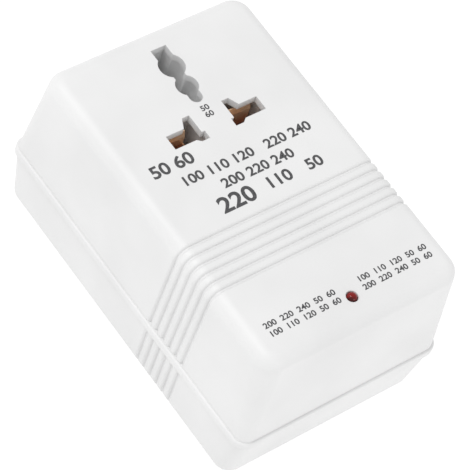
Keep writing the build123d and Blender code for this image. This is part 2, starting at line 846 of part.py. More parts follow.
with BuildPart() as lamp_board:
    with BuildSketch(Plane.XY.offset(board_bottom)):
        with Locations((0, lamp_y)):
            Rectangle(board_width, board_length)
        with Locations((-board_post_x, board_post_y), (board_post_x, board_post_y)):
            Circle(board_pin_radius + board_pin_gap, mode=Mode.SUBTRACT)
    extrude(amount=board_thickness)

lamp_board.part.label = "lamp_board"
export_step(lamp_board.part, "parts/lamp_board.step")


def make_axial_part(radius, length, y):
    """A small round component under the board on two bent leads."""
    lead_x = length / 2 + small_lead_run
    body_z = board_bottom - part_standoff - radius
    points = [
        (-lead_x, y, board_bottom),
        (-lead_x, y, body_z),
        (lead_x, y, body_z),
        (lead_x, y, board_bottom),
    ]
    with BuildPart() as component:
        add(make_wire(small_lead_radius, small_lead_radius * 2, points))
        with BuildSketch(Plane.YZ.offset(-length / 2)):
            with Locations((y, body_z)):
                Circle(radius)
        extrude(amount=length)
    return component.part


with BuildPart() as lamp_resistor:
    add(make_axial_part(resistor_radius, resistor_length, resistor_y))

lamp_resistor.part.label = "lamp_resistor"
export_step(lamp_resistor.part, "parts/lamp_resistor.step")

with BuildPart() as lamp_diode:
    add(make_axial_part(diode_radius, diode_length, diode_y))

lamp_diode.part.label = "lamp_diode"
export_step(lamp_diode.part, "parts/lamp_diode.step")

# Transformer core: stacked E sheets closed by stacked I sheets
with BuildPart() as e_laminations:
    e_length = core_end_y - window_start_y
    with BuildSketch(Plane.XY.offset(stack_base)):
        with Locations((0, window_start_y)):
            Rectangle(core_width, e_length, align=(Align.CENTER, Align.MIN))
            for side in (-1, 1):
                with Locations((side * core_limb * 3 / 2, 0)):
                    Rectangle(
                        core_limb,
                        e_length - core_limb,
                        align=(Align.CENTER, Align.MIN),
                        mode=Mode.SUBTRACT,
                    )
        with Locations(*[spot for spot in core_holes if spot[1] > window_end_y]):
            Circle(core_hole_radius, mode=Mode.SUBTRACT)
    extrude(amount=stack_height)

e_laminations.part.label = "e_laminations"
export_step(e_laminations.part, "parts/e_laminations.step")

with BuildPart() as i_laminations:
    with BuildSketch(Plane.XY.offset(stack_base)):
        with Locations((0, core_start_y)):
            Rectangle(core_width, core_limb - core_joint_gap, align=(Align.CENTER, Align.MIN))
        with Locations(*[spot for spot in core_holes if spot[1] < window_start_y]):
            Circle(core_hole_radius, mode=Mode.SUBTRACT)
    extrude(amount=stack_height)

i_laminations.part.label = "i_laminations"
export_step(i_laminations.part, "parts/i_laminations.step")

# Steel strips under the heads of the core screws
with BuildPart() as core_clamps:
    with BuildSketch(Plane.XY.offset(stack_top)):
        for start_y in (core_start_y, core_end_y - core_limb):
            with Locations((0, start_y)):
                Rectangle(core_width, core_limb, align=(Align.CENTER, Align.MIN))
        with Locations(*core_holes):
            Circle(core_hole_radius, mode=Mode.SUBTRACT)
    extrude(amount=core_clamp_thickness)

core_clamps.part.label = "core_clamps"
export_step(core_clamps.part, "parts/core_clamps.step")

with BuildPart() as core_screws:
    screw = Location((0, 0, clamp_top)) * make_screw(
        core_head_radius, core_head_height, core_screw_radius, core_screw_reach
    )
    with Locations(*core_holes):
        add(screw)

core_screws.part.label = "core_screws"
export_step(core_screws.part, "parts/core_screws.step")

# Bobbin on the middle limb, with slots for its terminals
with BuildPart() as bobbin:
    with BuildSketch(Plane.XZ.offset(-cheek_end_y)):
        with Locations((0, stack_middle)):
            Rectangle(2 * tube_half_width, 2 * tube_half_height)
    extrude(amount=cheek_end_y - cheek_start_y)
    for y in (cheek_end_y, cheek_start_y + bobbin_cheek):
        with BuildSketch(Plane.XZ.offset(-y)):
            with Locations((0, stack_middle)):
                Rectangle(2 * bobbin_cheek_half_width, 2 * bobbin_cheek_half_height)
        extrude(amount=bobbin_cheek)
    with BuildSketch(Plane.XZ.offset(-cheek_end_y)):
        with Locations((0, stack_middle)):
            Rectangle(2 * (tube_half_width - bobbin_wall), 2 * (tube_half_height - bobbin_wall))
    extrude(amount=cheek_end_y - cheek_start_y, mode=Mode.SUBTRACT)
    with BuildSketch(Plane.XY.offset(cheek_top)):
        with Locations((0, terminal_y)):
            with GridLocations(terminal_pitch, 0, terminal_count, 1):
                Rectangle(terminal_width, terminal_thickness)
        with Locations((0, lamp_terminal_y)):
            with GridLocations(lamp_terminal_pitch, 0, 2, 1):
                Rectangle(terminal_width, terminal_thickness)
    extrude(amount=-terminal_root, mode=Mode.SUBTRACT)

bobbin.part.label = "bobbin"
export_step(bobbin.part, "parts/bobbin.step")

with BuildPart() as bobbin_terminals:
    with BuildSketch(Plane.XY.offset(cheek_top - terminal_root)):
        with Locations((0, terminal_y)):
            with GridLocations(terminal_pitch, 0, terminal_count, 1):
                Rectangle(terminal_width, terminal_thickness)
        with Locations((0, lamp_terminal_y)):
            with GridLocations(lamp_terminal_pitch, 0, 2, 1):
                Rectangle(terminal_width, terminal_thickness)
    extrude(amount=terminal_root + terminal_rise)

bobbin_terminals.part.label = "bobbin_terminals"
export_step(bobbin_terminals.part, "parts/bobbin_terminals.step")


def make_winding(build_below, build):
    """One closed layer of the coil, starting build_below above the bobbin tube."""
    half_width = tube_half_width + build_below
    half_height = tube_half_height + build_below
    start_y = cheek_start_y + bobbin_cheek
    end_y = cheek_end_y - bobbin_cheek
    inner_corner = winding_corner_share * build_below
    outer_corner = winding_corner_share * (build_below + build)
    with BuildPart() as layer:
        with BuildSketch(Plane.XZ.offset(-end_y)):
            with Locations((0, stack_middle)):
                RectangleRounded(2 * (half_width + build), 2 * (half_height + build), outer_corner)
                if build_below > 0:
                    RectangleRounded(2 * half_width, 2 * half_height, inner_corner, mode=Mode.SUBTRACT)
                else:
                    Rectangle(2 * half_width, 2 * half_height, mode=Mode.SUBTRACT)
        extrude(amount=end_y - start_y)
    return layer.part


with BuildPart() as inner_winding:
    add(make_winding(0, inner_winding_build))

inner_winding.part.label = "inner_winding"
export_step(inner_winding.part, "parts/inner_winding.step")

with BuildPart() as outer_winding:
    add(make_winding(inner_winding_build, outer_winding_build))

outer_winding.part.label = "outer_winding"
export_step(outer_winding.part, "parts/outer_winding.step")

with BuildPart() as coil_tape:
    add(make_winding(inner_winding_build + outer_winding_build, tape_build))

coil_tape.part.label = "coil_tape"
export_step(coil_tape.part, "parts/coil_tape.step")

# Thermal cut-off lying on the coil
with BuildPart() as thermal_cutoff:
    cutoff_z = stack_middle + tape_half_height + cutoff_gap + cutoff_radius
    with BuildSketch(Plane.YZ.offset(-cutoff_length / 2)):
        with Locations((cutoff_y, cutoff_z)):
            Circle(cutoff_radius)
    extrude(amount=cutoff_length)
    lead_half = cutoff_length / 2 + cutoff_lead_run
    with BuildSketch(Plane.YZ.offset(-lead_half)):
        with Locations((cutoff_y, cutoff_z)):
            Circle(cutoff_lead_radius)
    extrude(amount=2 * lead_half)

thermal_cutoff.part.label = "thermal_cutoff"
export_step(thermal_cutoff.part, "parts/thermal_cutoff.step")

# Folding plug, folded into its recess with the blades towards +Y
with BuildPart() as plug_barrel:
    with BuildSketch(Plane.YZ.offset(-barrel_length / 2)):
        with Locations((hinge_y, hinge_z)):
            Circle(barrel_radius)
            with Locations((0, barrel_radius - barrel_flat)):
                Rectangle(2 * barrel_radius, barrel_flat, align=(Align.CENTER, Align.MIN), mode=Mode.SUBTRACT)
            with Locations((-barrel_radius, 0)):
                Rectangle(barrel_flat, 2 * barrel_radius, align=(Align.MIN, Align.CENTER), mode=Mode.SUBTRACT)
    extrude(amount=barrel_length)
    for side in (-1, 1):
        with BuildSketch(Plane.YZ.offset((side * blade_pitch - blade_thickness) / 2)):
            with Locations((hinge_y - blade_root, hinge_z)):
                Rectangle(blade_root + barrel_radius, blade_width, align=(Align.MIN, Align.CENTER))
        extrude(amount=blade_thickness, mode=Mode.SUBTRACT)
    with BuildSketch(Plane.YZ.offset(-barrel_length / 2)):
        with Locations((hinge_y, hinge_z)):
            Circle(pivot_radius)
    extrude(amount=(barrel_length - blade_pitch - blade_thickness) / 2, mode=Mode.SUBTRACT)
    with BuildSketch(Plane.YZ.offset((blade_pitch + blade_thickness) / 2)):
        with Locations((hinge_y, hinge_z)):
            Circle(pivot_radius)
    extrude(amount=(barrel_length - blade_pitch - blade_thickness) / 2, mode=Mode.SUBTRACT)

plug_barrel.part.label = "plug_barrel"
export_step(plug_barrel.part, "parts/plug_barrel.step")


def make_blade(side):
    """Flat blade from its root in the barrel to a bevelled tip."""
    tip_y = hinge_y + blade_reach
    middle_x = side * blade_pitch / 2
    with BuildPart() as blade:
        with BuildSketch(Plane.YZ.offset(middle_x - blade_thickness / 2)):
            with Locations((hinge_y - blade_root, hinge_z)):
                Rectangle(blade_root + blade_reach, blade_width, align=(Align.MIN, Align.CENTER))
        extrude(amount=blade_thickness)
        tip_face = blade.faces().sort_by(Axis.Y)[-1]
        chamfer(tip_face.edges().filter_by(Axis.X), blade_tip_chamfer)
        tip_face = blade.faces().sort_by(Axis.Y)[-1]
        chamfer(tip_face.edges().filter_by(Axis.Z), blade_tip_bevel)
        with BuildSketch(Plane.YZ.offset(middle_x - blade_thickness / 2)):
            with Locations((tip_y - blade_hole_from_tip, hinge_z)):
                Circle(blade_hole_radius)
        extrude(amount=blade_thickness, mode=Mode.SUBTRACT)
    return blade.part


with BuildPart() as line_blade:
    add(make_blade(1))

line_blade.part.label = "line_blade"
export_step(line_blade.part, "parts/line_blade.step")

with BuildPart() as neutral_blade:
    add(make_blade(-1))

neutral_blade.part.label = "neutral_blade"
export_step(neutral_blade.part, "parts/neutral_blade.step")

# Brass pivots that carry the barrel and feed the blades
with BuildPart() as plug_pivots:
    pivot_start_x = (blade_pitch + blade_thickness) / 2
    for start_x in (-pivot_end_x, pivot_start_x):
        with BuildSketch(Plane.YZ.offset(start_x)):
            with Locations((hinge_y, hinge_z)):
                Circle(pivot_radius)
        extrude(amount=pivot_end_x - pivot_start_x)

plug_pivots.part.label = "plug_pivots"
export_step(plug_pivots.part, "parts/plug_pivots.step")

with BuildPart() as plug_clips:
    for start_x in (-plug_clip_start_x - plug_clip_sheet, plug_clip_start_x):
        with BuildSketch(Plane.YZ.offset(start_x)):
            with Locations((hinge_y, back_thickness)):
                Rectangle(plug_clip_width, plug_clip_top - back_thickness, align=(Align.CENTER, Align.MIN))
            with Locations((hinge_y, hinge_z)):
                Circle(pivot_radius + pivot_gap, mode=Mode.SUBTRACT)
        extrude(amount=plug_clip_sheet)

plug_clips.part.label = "plug_clips"
export_step(plug_clips.part, "parts/plug_clips.step")

# Spring leaf that rests over the flats of the barrel
with BuildPart() as detent_spring:
    with BuildSketch(Plane.XY.offset(recess_height - detent_sheet)):
        with Locations((0, hinge_y)):
            Rectangle(detent_width, detent_length)
    extrude(amount=detent_sheet)

detent_spring.part.label = "detent_spring"
export_step(detent_spring.part, "parts/detent_spring.step")

# Cover that closes the recess from inside and keeps the pivots in their slots
with BuildPart() as plug_cover:
    cover_start_y = recess_start_y - recess_end_wall
    cover_end_y = recess_end_y + recess_end_wall
    with BuildSketch(Plane.XY.offset(recess_height)):
        with Locations((0, cover_start_y)):
            Rectangle(
                recess_width + 2 * recess_wall, cover_end_y - cover_start_y, align=(Align.CENTER, Align.MIN)
            )
        with Locations((0, plug_cover_wide_y)):
            Rectangle(
                2 * plug_cover_half_width, cover_end_y - plug_cover_wide_y, align=(Align.CENTER, Align.MIN)
            )
        with Locations(*cover_screws):
            Circle(cover_screw_radius + shank_clearance, mode=Mode.SUBTRACT)
    extrude(amount=plug_cover_thickness)
    tongue_bottom = hinge_z + pivot_radius + pivot_slot_gap
    tongue_half = pivot_radius + pivot_gap - plug_cover_tongue_gap
    for start_x in (-recess_width / 2 - recess_wall, recess_width / 2):
        with BuildSketch(Plane.YZ.offset(start_x)):
            with Locations((hinge_y, tongue_bottom)):
                Rectangle(2 * tongue_half, recess_height - tongue_bottom, align=(Align.CENTER, Align.MIN))
        extrude(amount=recess_wall)

plug_cover.part.label = "plug_cover"
export_step(plug_cover.part, "parts/plug_cover.step")

with BuildPart() as plug_cover_screws:
    screw = Location((0, 0, plug_cover_top)) * make_screw(
        cover_head_radius, cover_head_height, cover_screw_radius, cover_screw_reach
    )
    with Locations(*cover_screws):
        add(screw)

plug_cover_screws.part.label = "plug_cover_screws"
export_step(plug_cover_screws.part, "parts/plug_cover_screws.step")

# Voltage selector: housing with two ears, sliding knob, contact bridge, lugs
with BuildPart() as selector_housing:
    with BuildSketch(Plane.YZ.offset(selector_back_x)):
        with Locations((selector_y, selector_z)):
            Rectangle(selector_length, selector_height)
    extrude(amount=selector_depth)
    with BuildSketch(Plane.YZ.offset(selector_front_x - selector_ear_depth)):
        with Locations((selector_y, selector_z)):
            Rectangle(selector_ear_length, selector_height)
    extrude(amount=selector_ear_depth)
    with BuildSketch(Plane.YZ.offset(selector_back_x + selector_plate)):
        with Locations((selector_y, selector_z)):
            Rectangle(selector_length - 2 * selector_side, selector_height - 2 * selector_side)
    extrude(amount=selector_depth - 2 * selector_plate, mode=Mode.SUBTRACT)
    with BuildSketch(Plane.YZ.offset(cavity_front_x)):
        with Locations((selector_y, selector_z)):
            Rectangle(selector_window_length, selector_window_height)
    extrude(amount=selector_plate, mode=Mode.SUBTRACT)
    with BuildSketch(Plane.YZ.offset(selector_front_x - selector_ear_depth)):
        with Locations(*selector_screw_places):
            Circle(selector_screw_radius + thread_clearance)
    extrude(amount=selector_ear_depth, mode=Mode.SUBTRACT)
    with BuildSketch(Plane.YZ.offset(selector_back_x)):
        with Locations((selector_y, selector_z)):
            with GridLocations(lug_pitch, 0, 3, 1):
                Rectangle(lug_thickness, lug_height)
    extrude(amount=selector_plate, mode=Mode.SUBTRACT)

selector_housing.part.label = "selector_housing"
export_step(selector_housing.part, "parts/selector_housing.step")

with BuildPart() as selector_knob:
    with BuildSketch(Plane.YZ.offset(slider_back_x)):
        with Locations((slider_rest_y, selector_z)):
            Rectangle(slider_length, slider_height)
    extrude(amount=slider_thickness)
    with BuildSketch(Plane.YZ.offset(slider_front_x)):
        with Locations((slider_rest_y, selector_z)):
            Rectangle(knob_length, knob_height)
    extrude(amount=knob_front_x - slider_front_x)
    with BuildSketch(Plane.YZ.offset(knob_front_x)):
        with Locations((slider_rest_y, selector_z)):
            with GridLocations(knob_ridge_pitch, 0, knob_ridge_count, 1):
                Rectangle(knob_ridge_width, knob_height)
    extrude(amount=-knob_ridge_depth, mode=Mode.SUBTRACT)

selector_knob.part.label = "selector_knob"
export_step(selector_knob.part, "parts/selector_knob.step")

with BuildPart() as selector_bridge:
    with BuildSketch(Plane.YZ.offset(bridge_back_x)):
        with Locations((slider_rest_y, selector_z)):
            Rectangle(bridge_length, bridge_height)
    extrude(amount=bridge_thickness)

selector_bridge.part.label = "selector_bridge"
export_step(selector_bridge.part, "parts/selector_bridge.step")

with BuildPart() as selector_lugs:
    with BuildSketch(Plane.YZ.offset(lug_end_x)):
        with Locations((selector_y, selector_z)):
            with GridLocations(lug_pitch, 0, 3, 1):
                Rectangle(lug_thickness, lug_height)
    extrude(amount=lug_front_x - lug_end_x)

selector_lugs.part.label = "selector_lugs"
export_step(selector_lugs.part, "parts/selector_lugs.step")

with BuildPart() as selector_screws:
    seat = Plane((selector_seat_x, 0, 0), x_dir=(0, 1, 0), z_dir=(1, 0, 0))
    screw = seat.location * make_screw(
        selector_head_radius, selector_head_height, selector_screw_radius, selector_screw_reach
    )
    with Locations(*[(0, y, z) for y, z in selector_screw_places]):
        add(screw)

selector_screws.part.label = "selector_screws"
export_step(selector_screws.part, "parts/selector_screws.step")

# Wire routes: both ends follow the pieces they are soldered to
plug_wire_x = plug_clip_start_x + plug_clip_sheet / 2
input_turn_z = plug_clip_top + input_rise
input_run_z = selector_z - input_run_drop
output_run_z = chamber_floor - output_run_drop
output_turn_z = wire_height - output_turn_drop
neutral_high_z = wire_height - neutral_high_drop
high_tap_x = selector_front_x - high_tap_inset
input_line_route = [
    (plug_wire_x, hinge_y, plug_clip_top),
    (plug_wire_x, hinge_y, input_turn_z),
    (lug_x, input_run_y, input_run_z),
    (lug_x, selector_y, input_run_z),
    (lug_x, selector_y, lug_bottom),
]
input_neutral_route = [
    (-plug_wire_x, hinge_y, plug_clip_top),
    (-plug_wire_x, hinge_y, plug_clip_top + neutral_rise),
    (-2 * core_limb, neutral_low_y, selector_z),
    (-2 * core_limb, neutral_high_y, neutral_high_z),
    (-2 * terminal_pitch, neutral_bend_y, wire_height),
    (-2 * terminal_pitch, terminal_face_y, wire_height),
]
output_neutral_route = [
    (-terminal_pitch, terminal_face_y, wire_height),
    (-terminal_pitch, output_bend_y, wire_height),
    (-terminal_pitch, output_turn_y, output_turn_z),
    (-terminal_pitch, output_turn_y, output_run_z),
    (-clip_tab_middle_x, output_turn_y, output_run_z),
    (-clip_tab_middle_x, clip_tab_face_y, output_run_z),
]
output_line_route = [
    (0, terminal_face_y, wire_height),
    (0, output_bend_y, wire_height),
    (0, output_turn_y, output_turn_z),
    (0, output_turn_y, output_run_z),
    (clip_tab_middle_x, output_turn_y, output_run_z),
    (clip_tab_middle_x, clip_tab_face_y, output_run_z),
]
low_tap_route = [
    (terminal_pitch, terminal_face_y, wire_height),
    (terminal_pitch, low_tap_bend_y, wire_height),
    (lug_x, tap_turn_y, wire_height - low_tap_drop),
    (lug_x, tap_turn_y, selector_z - low_tap_run_drop),
    (lug_x, selector_y - lug_pitch, selector_z - low_tap_run_drop),
    (lug_x, selector_y - lug_pitch, lug_bottom),
]
high_tap_route = [
    (2 * terminal_pitch, terminal_face_y, wire_height),
    (2 * terminal_pitch, high_tap_bend_y, wire_height),
    (high_tap_x, high_tap_turn_y, wire_height - high_tap_start_drop),
    (high_tap_x, tap_turn_y, wire_height - high_tap_end_drop),
    (high_tap_x, tap_turn_y, input_turn_z),
    (lug_x, selector_y + lug_pitch, input_turn_z),
    (lug_x, selector_y + lug_pitch, lug_bottom),
]

with BuildPart() as input_line_wire:
    add(make_wire(wire_radius, wire_bend, input_line_route))

input_line_wire.part.label = "input_line_wire"
export_step(input_line_wire.part, "parts/input_line_wire.step")

with BuildPart() as input_neutral_wire:
    add(make_wire(wire_radius, wire_bend, input_neutral_route))

input_neutral_wire.part.label = "input_neutral_wire"
export_step(input_neutral_wire.part, "parts/input_neutral_wire.step")

with BuildPart() as output_line_wire:
    add(make_wire(wire_radius, wire_bend, output_line_route))

output_line_wire.part.label = "output_line_wire"
export_step(output_line_wire.part, "parts/output_line_wire.step")

with BuildPart() as output_neutral_wire:
    add(make_wire(wire_radius, wire_bend, output_neutral_route))

output_neutral_wire.part.label = "output_neutral_wire"
export_step(output_neutral_wire.part, "parts/output_neutral_wire.step")

with BuildPart() as low_tap_wire:
    add(make_wire(wire_radius, wire_bend, low_tap_route))

low_tap_wire.part.label = "low_tap_wire"
export_step(low_tap_wire.part, "parts/low_tap_wire.step")

with BuildPart() as high_tap_wire:
    add(make_wire(wire_radius, wire_bend, high_tap_route))

high_tap_wire.part.label = "high_tap_wire"
export_step(high_tap_wire.part, "parts/high_tap_wire.step")

# Two thin wires from the coil to the lamp board
with BuildPart() as lamp_wires:
    for side in (-1, 1):
        wire_x = side * lamp_terminal_pitch / 2
        lamp_route = [
            (wire_x, lamp_wire_y, board_top),
            (wire_x, lamp_wire_y, wire_height),
            (wire_x, lamp_terminal_face_y, wire_height),
        ]
        add(make_wire(lamp_wire_radius, lamp_wire_bend, lamp_route))

lamp_wires.part.label = "lamp_wires"
export_step(lamp_wires.part, "parts/lamp_wires.step")
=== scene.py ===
import math

import bmesh
import bpy
from mathutils import Matrix, Vector


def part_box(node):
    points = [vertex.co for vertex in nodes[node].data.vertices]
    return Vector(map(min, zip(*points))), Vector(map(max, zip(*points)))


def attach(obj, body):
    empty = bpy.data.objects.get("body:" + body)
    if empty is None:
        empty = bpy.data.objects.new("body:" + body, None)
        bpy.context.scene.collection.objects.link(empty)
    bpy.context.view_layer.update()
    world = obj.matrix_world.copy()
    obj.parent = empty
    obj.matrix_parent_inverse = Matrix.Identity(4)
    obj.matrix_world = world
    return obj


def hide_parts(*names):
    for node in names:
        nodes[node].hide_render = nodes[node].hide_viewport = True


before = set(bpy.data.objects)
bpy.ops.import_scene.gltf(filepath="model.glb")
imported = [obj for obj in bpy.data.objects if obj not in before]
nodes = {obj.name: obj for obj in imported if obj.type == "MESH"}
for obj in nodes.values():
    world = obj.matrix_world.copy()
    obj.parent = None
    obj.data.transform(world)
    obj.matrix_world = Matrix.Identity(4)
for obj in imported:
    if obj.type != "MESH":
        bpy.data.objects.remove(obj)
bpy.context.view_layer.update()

# Camera: a long lens looking down on the socket face over the corner between the lamp's
# end and the left wall. Its place and its turn about its own axis, in metres and in unit
# vectors, were fitted to the outlines of both shells.
IMAGE_WIDTH = 470
FOCAL_PIXELS = 2819.459
SENSOR = 36.0
NEAREST = 0.01
EYE = Vector((-0.371514, -0.266384, 0.634200))
RIGHT = Vector((0.786322, -0.572730, 0.231688))
DOWN = Vector((-0.377453, -0.742226, -0.553742))
AHEAD = Vector((0.489109, 0.347968, -0.799807))

scene = bpy.context.scene
camera = bpy.data.objects.new("camera", bpy.data.cameras.new("camera"))
scene.collection.objects.link(camera)
camera.data.sensor_width = SENSOR
camera.data.lens = FOCAL_PIXELS / IMAGE_WIDTH * SENSOR
camera.data.clip_start = NEAREST
turn = Matrix((RIGHT, -DOWN, -AHEAD)).transposed().to_4x4()
camera.matrix_world = Matrix.Translation(EYE) @ turn
scene.camera = camera


# Studio: a white tent over a table of acrylic lit from below, which burns out to white
# and keeps shadows off. A key lamp high beyond the far end draws one side of each groove,
# and a low lamp lights the near end.
TENT_STRENGTH = 0.78
TABLE_GLOW = 0.84
TABLE_HALF = 3.0
TABLE_DROP = 0.00005


def linear(colour):
    """sRGB hex to the linear RGBA that shaders take."""
    parts = [int(colour[i:i + 2], 16) / 255 for i in (1, 3, 5)]
    return [c / 12.92 if c <= 0.04045 else ((c + 0.055) / 1.055) ** 2.4 for c in parts] + [1.0]


def add_node(tree, kind, settings=None, **inputs):
    """Adds a node. An input is a socket's name with _ for a space, or i and its number."""
    made = tree.nodes.new(kind)
    for key, value in (settings or {}).items():
        setattr(made, key, value)
    for key, value in inputs.items():
        place = int(key[1:]) if key[1:].isdigit() else key.replace("_", " ")
        socket = made.inputs[place]
        if isinstance(value, bpy.types.NodeSocket):
            tree.links.new(value, socket)
        else:
            socket.default_value = value
    return made


def new_material(name, colour, roughness, **inputs):
    """A material with one Principled shader, then its node tree, then that shader."""
    material = bpy.data.materials.new(name)
    material.use_nodes = True
    tree = material.node_tree
    shader = tree.nodes["Principled BSDF"]
    shader.inputs["Base Color"].default_value = linear(colour)
    shader.inputs["Roughness"].default_value = roughness
    for key, value in inputs.items():
        shader.inputs[key.replace("_", " ")].default_value = value
    return material, tree, shader


scene.view_settings.view_transform = "Standard"
world = bpy.data.worlds.new("tent")
scene.world = world
world.use_nodes = True
world.node_tree.nodes["Background"].inputs["Color"].default_value = linear("#FFFFFF")
world.node_tree.nodes["Background"].inputs["Strength"].default_value = TENT_STRENGTH

table_mesh = bpy.data.meshes.new("table")
table_corners = [(x * TABLE_HALF, y * TABLE_HALF, 0)
                 for x, y in ((-1, -1), (1, -1), (1, 1), (-1, 1))]
table_mesh.from_pydata(table_corners, [], [(0, 1, 2, 3)])
table = bpy.data.objects.new("table", table_mesh)
table.location.z = -TABLE_DROP
scene.collection.objects.link(table)
acrylic, tree, shader = new_material("lit_acrylic", "#808080", 0.9, Emission_Strength=TABLE_GLOW)
shader.inputs["Emission Color"].default_value = linear("#FFFFFF")
table_mesh.materials.append(acrylic)

# Name, place and side of each square lamp in metres, and its power in watts
for name, place, size, power in (
    ("key_softbox", (-0.55, 0.42, 1.25), 0.60, 6.7),
    ("end_softbox", (0.10, -1.2, 0.30), 0.70, 2.1),
):
    light = bpy.data.objects.new(name, bpy.data.lights.new(name, "AREA"))
    light.data.size = size
    light.data.energy = power
    light.location = place
    light.rotation_euler = (-Vector(place)).to_track_quat("-Z", "Y").to_euler()
    scene.collection.objects.link(light)


# Casing: both shells are injection-moulded ABS with a fine spark-eroded skin, which
# gives a soft sheen. The face sinks a little over the four screw bosses, and every edge
# is a little round.
MM = 0.001
MERGE_DISTANCE = 0.002 * MM
PLASTIC_IOR = 1.54
CLOUD_SIZE = 22 * MM
GRAIN_SIZE = 0.4 * MM
GRAIN_DEPTH = 0.012 * MM
BOSS_TOP = (26.5 * MM, 44 * MM, 54 * MM)  # one of four that mirror each other
SINK_INNER = 1.5 * MM
SINK_OUTER = 4.5 * MM
SINK_DEPTH = 0.03 * MM
EDGE_ROUND = 0.25 * MM


def mottled(name, dark, light, size, roughness, bump=0.01, spread=(0.35, 0.65), detail=3.0,
            **inputs):
    """A material whose colour drifts between two tones over size, and its skin by bump mm."""
    material, tree, shader = new_material(name, light, roughness, **inputs)
    where = add_node(tree, "ShaderNodeTexCoord").outputs["Object"]
    drift = add_node(tree, "ShaderNodeTexNoise", Vector=where, Scale=1 / size, Detail=detail)
    tone = add_node(tree, "ShaderNodeValToRGB", Fac=drift.outputs["Fac"])
    for stop, position, colour in zip(tone.color_ramp.elements, spread, (dark, light)):
        stop.position = position
        stop.color = linear(colour)
    tree.links.new(tone.outputs["Color"], shader.inputs["Base Color"])
    if bump:
        skin = add_node(tree, "ShaderNodeBump", Height=drift.outputs["Fac"], Distance=bump * MM)
        tree.links.new(skin.outputs["Normal"], shader.inputs["Normal"])
    return material


white_abs = mottled("white_abs_moulded", "#E1E1E1", "#E7E7E7", size=CLOUD_SIZE, roughness=0.50,
                    bump=0, spread=(0.3, 0.7), detail=2.0, IOR=PLASTIC_IOR)
tree = white_abs.node_tree
where = add_node(tree, "ShaderNodeTexCoord").outputs["Object"]
grain = add_node(tree, "ShaderNodeTexNoise", Vector=where, Scale=1 / GRAIN_SIZE, Detail=2.0)
mirrored = add_node(tree, "ShaderNodeVectorMath", {"operation": "ABSOLUTE"}, i0=where)
from_boss = add_node(tree, "ShaderNodeVectorMath", {"operation": "DISTANCE"},
                     i0=mirrored.outputs["Vector"], i1=BOSS_TOP)
sink = add_node(tree, "ShaderNodeMapRange", {"interpolation_type": "SMOOTHSTEP"},
                Value=from_boss.outputs["Value"], From_Min=SINK_INNER, From_Max=SINK_OUTER,
                To_Min=0.0, To_Max=1.0)
rounded = add_node(tree, "ShaderNodeBevel", {"samples": 6}, Radius=EDGE_ROUND)
sunk = add_node(tree, "ShaderNodeBump", Height=sink.outputs["Result"],
                Normal=rounded.outputs["Normal"], Distance=SINK_DEPTH)
skin = add_node(tree, "ShaderNodeBump", Height=grain.outputs["Fac"],
                Normal=sunk.outputs["Normal"], Distance=GRAIN_DEPTH)
tree.links.new(skin.outputs["Normal"], tree.nodes["Principled BSDF"].inputs["Normal"])


def smooth_copy(name, body, material, angle=28.0):
    """A merged copy stands for a CAD node, smooth where it bends by less than angle degrees."""
    mesh = nodes[name].data.copy()
    mesh.materials.clear()
    shape = bmesh.new()
    shape.from_mesh(mesh)
    bmesh.ops.remove_doubles(shape, verts=shape.verts, dist=MERGE_DISTANCE)
    for face in shape.faces:
        face.smooth = True
        face.material_index = 0
    for edge in shape.edges:
        bend = edge.calc_face_angle(0.0)
        edge.smooth = len(edge.link_faces) == 2 and bend < math.radians(angle)
    shape.to_mesh(mesh)
    shape.free()
    mesh.materials.append(material)
    piece = bpy.data.objects.new(name + "_skin", mesh)
    scene.collection.objects.link(piece)
    weighted = piece.modifiers.new("even_shading", "WEIGHTED_NORMAL")
    weighted.keep_sharp = True
    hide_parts(name)
    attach(piece, body)


for name in ("front_shell", "rear_shell"):
    smooth_copy(name, "case", white_abs)


# Carrier behind the openings: the same ABS as it left the tool, coloured a little greyer as
# painted shade, so it looks a little darker than the face when seen through an opening.
# Painted shade: a greyer tone than the shells stands in for the shade inside the openings
grey_abs = mottled("grey_abs_moulded", "#D6D6D6", "#E4E4E4", size=3 * MM, roughness=0.6,
                   bump=0, spread=(0.3, 0.7), IOR=PLASTIC_IOR)
smooth_copy("socket_carrier", "case", grey_abs)


# Contacts: two clips bent from half-millimetre copper strip. Their colour is painted brighter
# towards the lips as a painted highlight, and browner deep in the openings as painted shade.
STREAK_WIDTH = 0.5 * MM
STREAK_DEPTH = 0.01 * MM
STREAK_STRETCH = (1.0, 1.0, 0.12)
STAIN_SIZE = 3 * MM
STAIN_SHARE = 0.35
# Share and reach of the painted light and shade along the clip's height, over a random stain
PAINTED_LIGHT_SHARE = 0.8
PAINTED_SHADE_REACH = 8 * MM
PAINTED_LIGHT_PAST_LIP = 1 * MM
clip_foot, clip_lip = (corner.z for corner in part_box("line_contact"))
copper, tree, shader = new_material("rolled_copper", "#F2B98C", 0.34, Metallic=0.75)
where = add_node(tree, "ShaderNodeTexCoord").outputs["Object"]
stretched = add_node(tree, "ShaderNodeMapping", Vector=where, Scale=STREAK_STRETCH)
streaks = add_node(tree, "ShaderNodeTexNoise", Vector=stretched.outputs["Vector"],
                   Scale=1 / STREAK_WIDTH, Detail=3.0)
stain = add_node(tree, "ShaderNodeTexNoise", Vector=where, Scale=1 / STAIN_SIZE, Detail=2.0)
height = add_node(tree, "ShaderNodeSeparateXYZ", Vector=where)
